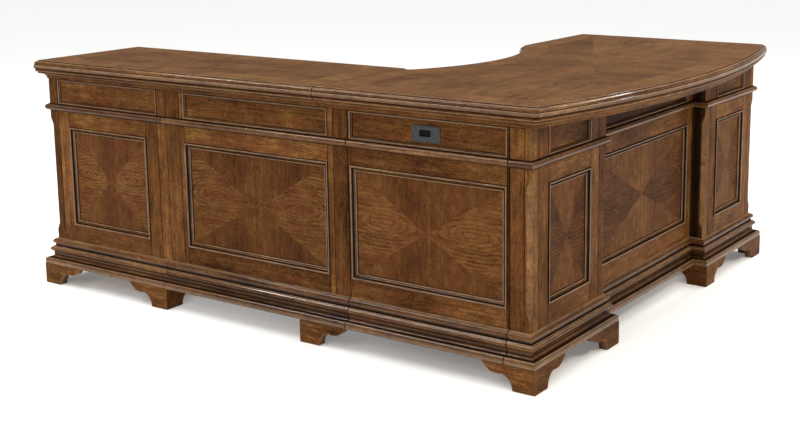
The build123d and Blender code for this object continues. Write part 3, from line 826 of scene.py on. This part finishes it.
# ---- posts ----
def post(name, lo, hi, corner, extra=(), grooves=()):
    """A post whose outside corner has a stopped chamfer with pointed ends, grooved if asked."""
    shape = Shape()
    sx, sy = corner
    beyond = 24 * MM
    low, high = PANEL_Z[0] - beyond, PANEL_Z[1] + beyond
    point, plain, full = 22 * MM, 1.0 * MM, 11 * MM

    def cut(z):
        """Depth of the chamfer: hardly any at the ends, then a long point, then full depth."""
        t = max(0.0, min(1.0, min(z - low, high - z) / point))
        return plain + (full - plain) * t ** 0.8

    climb = [point * i / 8 for i in range(9)]
    levels = [lo.z] + [low + rise for rise in climb] + [high - rise for rise in climb[::-1]] + [hi.z]
    wide, deep = hi.x - lo.x, hi.y - lo.y
    inner_x, inner_y = lo.x if sx > 0 else hi.x, lo.y if sy > 0 else hi.y
    small = 1.2 * MM
    wider = 2 * small
    # On the grooved post the face in the recess is darkened with the glaze colour: painted shade.
    shade = -0.42 if grooves else 0.0
    offset = scatter()
    tone = rng.uniform(-1, 1)
    rows = []
    for z in levels:
        c = cut(z)
        outline = [(0, 0, 0.0), (0, deep - small, LINED), (small, deep, LINED), (wider, deep, shade)]
        for u in grooves:
            outline += [(u - GROOVE, deep, FILLED), (u, deep - GROOVE, FILLED),
                        (u + GROOVE, deep, FILLED)]
        outline += [(wide - c - small, deep, shade), (wide - c, deep, RUB_AND_HIGHLIGHT), (wide, deep - c, RUB_AND_HIGHLIGHT),
                    (wide, deep - c - small, 0.0), (wide, wider, 0.0), (wide, small, LINED),
                    (wide - small, 0, LINED)]
        rows.append([shape.point((inner_x + sx * u, inner_y + sy * v, z)) for u, v, wear in outline])
    wears = [wear for u, v, wear in outline]
    across = [0.0]
    for here, after in zip(outline, outline[1:]):
        across.append(across[-1] + math.dist(here[:2], after[:2]))
    count = len(wears)
    flat = 5 + 3 * len(grooves)        # the side of the outline that is the chamfer
    for row, after, z0, z1 in zip(rows, rows[1:], levels, levels[1:]):
        for i in range(count):
            j = (i + 1) % count
            corners = [row[i], row[j], after[j], after[i]]
            grains = [Vector((z, across[k], 0)) + offset
                      for z, k in ((z0, i), (z0, j), (z1, j), (z1, i))]
            values = [wears[k] for k in (i, j, j, i)]
            # The chamfer face is laid pale along its length: a painted reflection of the lamps,
            # fainter where it runs out.
            chamfer = cut((z0 + z1) / 2) > 2.5 * MM
            if i == flat:
                values = [RUB_AND_HIGHLIGHT if chamfer else 0.2] * 4
            shape.face(corners, grains, values, tone)
    for row in (rows[0], rows[-1]):
        shape.face(row, [shape.verts[i] for i in row], [0.0] * count, tone)
    for a, b in extra:
        board(shape, a, b, "z")
    shape.build(name + "_shaft", CASE, name)


def build_posts():
    """The near corner post has a flat strip beside it, and the far inner one has two grooves."""
    lo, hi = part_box("near_corner_post")
    split = hi.x - 19 * MM
    strip = (lo, Vector((split, lo.y + THICK, hi.z)))
    post("near_corner_post", Vector((split, lo.y, lo.z)), hi, (1, -1), (strip,))
    for name, corner in (("near_inner_post", (1, 1)), ("far_inner_post", (1, -1)),
                         ("far_corner_post", (1, 1)), ("return_corner_post", (-1, -1))):
        lo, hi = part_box(name)
        lines = (0.50, 0.68) if name == "far_inner_post" else ()
        post(name, lo, hi, corner, grooves=[(hi.x - lo.x) * line for line in lines])


# ---- feet ----
def foot_outline():
    """Bracket foot seen from the front: block, cove and a rounded tip; X from the corner."""
    line = [(0, 0), (69, 0), (70.5, 1.5)] + arc((112, 2), 41.5, 180, 96, 9)
    line += [(109, 40.6), (122, 40.2), (134, 41.5), (143, 45), (150, 50.5), (157, 57)]
    line += [(163, 63), (166, 68), (0, 68)]
    return mm(line)


def wing(shape, corner, direction, inward):
    """One face of a bracket foot, mitred at the corner, with softened lower edges."""
    outline = foot_outline()
    soft, thick = 1.6 * MM, 28 * MM
    offset = scatter()
    tone = rng.uniform(-0.8, 0.8)
    layers = [(0.0, soft, 0.0), (soft, 0.0, 0.6), (thick, 0.0, 0.0)]
    middle = 60 * MM
    rows = []
    for depth, shrink, wear in layers:
        row = []
        for x, z in outline:
            u = max(x, depth) if x < 1 * MM else x
            u -= shrink if x > middle else 0
            z += shrink if z < middle else 0
            co = corner + direction * u + inward * depth + UP * z
            row.append((shape.point(co), Vector((u, z, depth)) + offset, wear))
        rows.append(row)
    count = len(outline)
    for row, after in zip(rows, rows[1:]):
        for i in range(count):
            j = (i + 1) % count
            corners, grains, wears = zip(row[i], row[j], after[j], after[i])
            shape.face(corners, grains, wears, tone)
    for row in (rows[0], rows[-1]):
        corners, grains, wears = zip(*row)
        shape.face(corners, grains, [0.0] * count, tone)


def build_feet():
    """Bracket feet of the desk and of the return: corner and the directions of the two wings."""
    x0, x1, y0 = RETURN_X - OVERHANG, BODY_X + OVERHANG, TOP_LO.y
    desk = [(x1, y0, -1, 1), (x1, NEAR_Y + OVERHANG, -1, -1), (x1, PED_Y - OVERHANG, -1, 1),
            (x1, TOP_HI.y, -1, -1), (TOP_LO.x, TOP_HI.y, 1, -1), (TOP_LO.x, PED_Y, 1, 1)]
    back = [(x0, y0, 1, 1), (RETURN_EDGE, y0, -1, 1), (BODY_X - MIDDLE_FOOT, y0, 1, 1),
            (x0, RET_HI.y, 1, -1), (RETURN_EDGE, RET_HI.y, -1, -1)]
    for name, corners in (("desk_feet", desk), ("return_feet", back)):
        shape = Shape()
        for x, y, sx, sy in corners:
            corner = Vector((x, y, 0))
            wing(shape, corner, RIGHT * sx, INTO * sy)
            wing(shape, corner, INTO * sy, RIGHT * sx)
        shape.build(name + "_brackets", CASE, name)


# ---- drawers ----
RETURN_BANK = ("return_file", "return_box")
DESK_BANK = ("desk_file", "desk_middle", "desk_upper")


def drawer_place(name):
    """Matrix of a drawer front, X across it and Y to the user, its half width and its heights."""
    lo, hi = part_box(name + "_drawer_front")
    if name.startswith("return"):
        middle = (lo.x + hi.x) / 2
        return Matrix.Translation((middle, hi.y, 0)), (hi.x - lo.x) / 2, lo.z, hi.z
    move = Matrix.Translation((lo.x, (lo.y + hi.y) / 2, 0))
    return move @ Matrix.Rotation(math.radians(90), 4, "Z"), (hi.y - lo.y) / 2, lo.z, hi.z


def bail(name, body, place, z, node):
    """Bail pull: two round rosettes with posts and a drooping grip."""
    mesh = bmesh.new()
    grip = 48 * MM
    sunk = 2 * MM
    rosette = mm([(0, 11), (1.2, 11), (2.6, 9.5), (3.0, 7.4), (4.4, 6.2), (5.2, 4.4), (15, 3.6),
                  (17.5, 4.6), (19.5, 4.6), (21, 3.4), (21.6, 0)])
    for side in (-1, 1):
        skin(mesh, [circle(mesh, Vector((side * grip, y - sunk, z)), RIGHT, UP, radius, 20)
                    for y, radius in rosette])
    reach, lean, droop = 17 * MM, 4 * MM, 20 * MM
    steps = 24
    rings = []
    for i in range(steps + 1):
        angle = math.pi * i / steps
        fall = math.sin(angle) ** 0.6
        centre = Vector((-grip * math.cos(angle), reach + lean * fall, z - droop * fall))
        thick = (2.6 + 1.3 * math.sin(angle)) * MM
        tangent = Vector((math.sin(angle) + 0.02, 0, -math.cos(angle) * 0.45)).normalized()
        rings.append(circle(mesh, centre, INTO, tangent.cross(INTO), thick, 12))
    skin(mesh, rings)
    mesh.faces.new(rings[0])
    mesh.faces.new(rings[-1])
    mesh.transform(place)
    forge(mesh, name, [BRASS], body, "aged_brass", 40, node)


def build_drawer(name):
    """Sunk-field front with its moulding, an open box and, on the banks' drawers, a bail pull."""
    body = name + "_drawer"
    place, half, low, high = drawer_place(name)
    turned = place @ Matrix.Rotation(math.pi, 4, "Z")
    shape = Shape()
    raised, thick, edge = 2 * MM, 20 * MM, 20 * MM
    inner = half - edge
    board(shape, (-half, raised, low), (half, thick, high), "x", turned, wear=-0.6)
    for lo, hi, along in (((-half, 0, low), (-inner, raised, high), "z"),
                          ((inner, 0, low), (half, raised, high), "z"),
                          ((-inner, 0, low), (inner, raised, low + edge), "x"),
                          ((-inner, 0, high - edge), (inner, raised, high), "x")):
        board(shape, lo, hi, along, turned, arris=0.8 * MM, wear=0.25)
    shape.build(name + "_front", CASE, name + "_drawer_front", body=body, slot="panel_veneer")
    mouldings = Shape()
    ring(mouldings, turned, (-inner, inner), (low + edge, high - edge), frieze_profile())
    mouldings.build(name + "_front_moulding", MOULDING, body=body, slot="moulding_wood")
    lo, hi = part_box(name + "_drawer_box")
    wall, floor = 12 * MM, 8 * MM
    x0, x1, y0, y1 = lo.x + wall, hi.x - wall, lo.y + wall, hi.y - wall
    box = Shape()
    for a, b, along in (((lo.x, lo.y, lo.z), (hi.x, y0, hi.z), "x"),
                        ((lo.x, y1, lo.z), (hi.x, hi.y, hi.z), "x"),
                        ((lo.x, y0, lo.z), (x0, y1, hi.z), "y"),
                        ((x1, y0, lo.z), (hi.x, y1, hi.z), "y")):
        board(box, a, b, along, wear=0.2)
    board(box, (x0, y0, lo.z), (x1, y1, lo.z + floor), "x", wear=0.0)
    box.build(name + "_box", DRAWER, name + "_drawer_box", body=body, slot="drawer_wood")
    if name != "centre":
        lift = 8 * MM
        bail(name + "_bail", body, place, (low + high) / 2 + lift, name + "_pull")


def build_face_frame(node, fronts, long_axis):
    """Posts and rails round a bank of drawers, whose names go from the floor up."""
    lo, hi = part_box(node)
    shape = Shape()
    spans = [[corner.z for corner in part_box(name + "_drawer_front")] for name in fronts]
    gap = 1.5 * MM
    rails = [(lo.z, spans[0][0] - gap)]
    rails += [(a[1] + gap, b[0] - gap) for a, b in zip(spans, spans[1:])]
    rails.append((spans[-1][1] + gap, hi.z))
    if long_axis == "x":
        for x in (lo.x, hi.x - POST):
            board(shape, (x, lo.y, lo.z), (x + POST, hi.y, hi.z), "z", arris=2 * MM, wear=RUB_AND_HIGHLIGHT)
        for z0, z1 in rails:
            board(shape, (lo.x + POST, hi.y - THICK, z0), (hi.x - POST, hi.y, z1), "x", wear=0.2)
    else:
        for y in (lo.y, hi.y - POST):
            board(shape, (lo.x, y, lo.z), (hi.x, y + POST, hi.z), "z", arris=2 * MM, wear=RUB_AND_HIGHLIGHT)
        for z0, z1 in rails:
            board(shape, (lo.x, lo.y + POST, z0), (lo.x + THICK, hi.y - POST, z1), "y", wear=0.2)
    shape.build(node + "_boards", CASE, node)


# ---- plain inner boards and the port ----
def build_insides():
    """Knee sides as boards; floors, runners and sub-tops keep their CAD shape."""
    for name in ("return_knee_side", "pedestal_knee_side"):
        shape = Shape()
        board(shape, *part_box(name), "z")
        shape.build(name + "_board", CASE, name)
    for name in ("return_bottom", "pedestal_bottom", "drawer_runners"):
        paint(name, PALE)
    for name in ("desk_subtop", "return_subtop"):
        paint(name, INSIDE)


def paint(name, material):
    """Give a node that keeps its CAD shape its material."""
    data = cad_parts[name].data
    data.materials.clear()
    data.materials.append(material)


def build_port():
    """Flush black plate with rounded corners, its slot lined in near-black as painted shade of the
    opening, and two screws.
    """
    lo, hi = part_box("port_plate")
    mesh = bmesh.new()

    def loop(x0, x1, z0, z1, radius, y):
        """Vertices round a rectangle with rounded corners."""
        middles = ((x1 - radius, z1 - radius, 0), (x0 + radius, z1 - radius, 90),
                   (x0 + radius, z0 + radius, 180), (x1 - radius, z0 + radius, 270))
        return [mesh.verts.new((u, y, v)) for x, z, start in middles
                for u, v in arc((x, z), radius, start, start + 90, 6)]

    def plate(inset, y):
        return loop(lo.x + inset, hi.x - inset, lo.z + inset, hi.z - inset, 6 * MM - inset, y)

    def slot(grow, y):
        return loop(lo.x + 25 * MM - grow, lo.x + 61 * MM + grow, lo.z + 16 * MM - grow,
                    lo.z + 34 * MM + grow, 2 * MM, y)

    edge, lip = 1.0 * MM, 0.8 * MM
    loops = [plate(0, hi.y), plate(0, lo.y + edge), plate(edge, lo.y), slot(lip, lo.y),
             slot(0, lo.y + lip), slot(0, hi.y - 0.2 * MM)]
    skin(mesh, loops[:5])
    slot_shade_faces = skin(mesh, loops[4:]) + [mesh.faces.new(loops[0]), mesh.faces.new(loops[-1])]
    for face in slot_shade_faces:
        face.material_index = 1
    forge(mesh, "port_plate_cover", (BLACK, SLOT_SHADE), "carcase", "black_plate", 35, "port_plate")
    mesh = bmesh.new()
    sunk = 0.2 * MM
    for x in (lo.x + 19 * MM, hi.x - 23 * MM):
        rings = [circle(mesh, Vector((x, lo.y + sunk - out, lo.z + 6 * MM)), RIGHT, UP, radius, 16)
                 for out, radius in mm([(0.0, 2.6), (0.5, 2.5), (0.9, 1.8), (1.0, 0.2)])]
        skin(mesh, rings)
        mesh.faces.new(rings[0])
        mesh.faces.new(rings[-1])
    forge(mesh, "port_plate_screws", (STEEL,), "carcase", "black_plate", 35)


# ---- setting ----
def build_floor():
    """Wide matt white floor, lifted a little so that it fades into the backdrop."""
    data = bpy.data.meshes.new("floor")
    half = 30
    data.from_pydata([(half * x, half * y, 0) for x, y in AROUND], [], [(0, 1, 2, 3)])
    t = Tree("floor_white")
    place = t.node("TexCoord").outputs["Object"]
    shade = t.noise(place, 3.0, 2.0)
    t.shade({"Base Color": t.mix(shade, rgb(0.90, 0.90, 0.895), rgb(0.92, 0.92, 0.915)),
             "Roughness": 0.9, "Specular IOR Level": 0.1, "Emission Color": rgb(1, 1, 1),
             "Emission Strength": 0.16})
    data.materials.append(t.material)
    link("floor", data)


def softbox(name, place, target, size, power, colour=(1, 1, 1)):
    """A rectangular lamp that looks at its target."""
    light = bpy.data.lights.new(name, "AREA")
    light.shape = "RECTANGLE"
    light.size, light.size_y = size
    light.energy = power
    light.color = colour
    lamp = link(name, light)
    lamp.location = place
    lamp.rotation_euler = (Vector(target) - Vector(place)).to_track_quat("-Z", "Y").to_euler()


def build_lights():
    """White surround for the camera, a dimmer one for surfaces, a soft ceiling and four boxes."""
    world = bpy.data.worlds.new("studio")
    bpy.context.scene.world = world
    world.use_nodes = True
    nodes, links = world.node_tree.nodes, world.node_tree.links
    ground, backdrop = nodes["Background"], nodes.new("ShaderNodeBackground")
    for shade, strength in ((ground, 0.22), (backdrop, 1.0)):
        shade.inputs["Color"].default_value = rgb(1, 1, 1)
        shade.inputs["Strength"].default_value = strength
    path, blend = nodes.new("ShaderNodeLightPath"), nodes.new("ShaderNodeMixShader")
    links.new(path.outputs["Is Camera Ray"], blend.inputs[0])
    links.new(ground.outputs[0], blend.inputs[1])
    links.new(backdrop.outputs[0], blend.inputs[2])
    links.new(blend.outputs[0], nodes["World Output"].inputs[0])
    sky = bpy.data.lights.new("ceiling", "SUN")
    sky.energy, sky.angle = 2.0, math.radians(80)
    link("ceiling", sky)
    softbox("left_high", (-2.2, -1.9, 3.4), (0, -0.4, 0.5), (3.2, 0.16), 66)
    softbox("front", (0.4, -5.2, 3.2), (-0.2, -0.8, 0.4), (2.2, 2.0), 88, (1.0, 0.95, 0.88))
    softbox("rear_high", (2.3, 2.5, 3.3), (0.9, -0.2, 0.7), (3.6, 0.16), 70)
    softbox("side", (4.0, -0.2, 3.5), (0.8, 0.1, 0.4), (1.6, 0.8), 78, (1.0, 0.90, 0.72))


def build_camera():
    """Camera at the viewing angle: azimuth and elevation of the line from the desk to it."""
    azimuth, elevation, roll = map(math.radians, (34.07, 10.67, -0.51))
    data = bpy.data.cameras.new("camera")
    data.sensor_width = 36
    data.lens = 58.5
    data.shift_x, data.shift_y = -0.05, -0.095
    data.clip_end = 100
    camera = link("camera", data)
    level = math.cos(elevation)
    back = Vector((math.sin(azimuth) * level, -math.cos(azimuth) * level, math.sin(elevation)))
    turn = back.to_track_quat("Z", "Y").to_matrix().to_4x4()
    move = Matrix.Translation((2.496, -3.604, 1.287))
    camera.matrix_world = move @ turn @ Matrix.Rotation(roll, 4, "Z")
    bpy.context.scene.camera = camera


bpy.context.scene.view_settings.view_transform = "Standard"

build_tops()
build_crowns()
build_runs()
build_walls()
build_posts()
build_feet()
build_face_frame("return_face_frame", RETURN_BANK, "x")
build_face_frame("pedestal_face_frame", DESK_BANK, "y")
for drawer in (*RETURN_BANK, *DESK_BANK, "centre"):
    build_drawer(drawer)
build_insides()
build_port()
build_floor()
build_lights()
build_camera()
